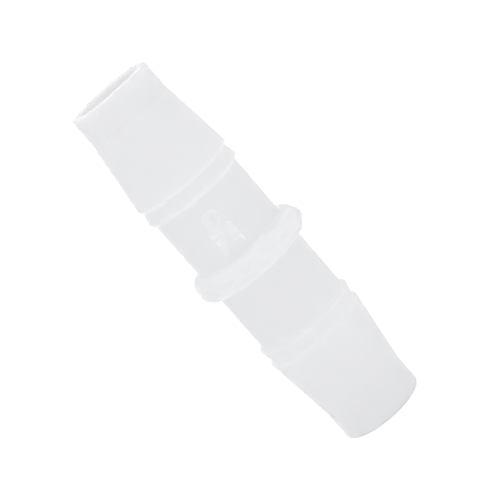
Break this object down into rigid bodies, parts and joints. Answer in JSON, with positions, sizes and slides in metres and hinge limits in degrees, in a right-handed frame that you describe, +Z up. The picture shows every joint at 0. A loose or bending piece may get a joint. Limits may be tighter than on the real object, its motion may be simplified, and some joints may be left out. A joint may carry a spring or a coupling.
{
  "type": "hose mender",
  "caption": "Straight double-ended barbed connector with a round collar in the middle, which joins two cut hose ends end to end.",
  "frame": {"origin": "on the line of the bore, in the plane of the lower end face, which is where the piece stands", "axes": "+Z up the line of the bore from the lower end to the upper; +X towards the gate scar on the collar; the raised tally on the upper neck faces -Y"},
  "size_m": [0.0126, 0.0122, 0.0411],
  "materials": {
    "natural_polypropylene": "uncoloured moulded polypropylene, milky and faintly translucent, satin"
  },
  "bodies": {
    "root": {"hose_mender": "natural_polypropylene"}
  },
  "joints": []
}
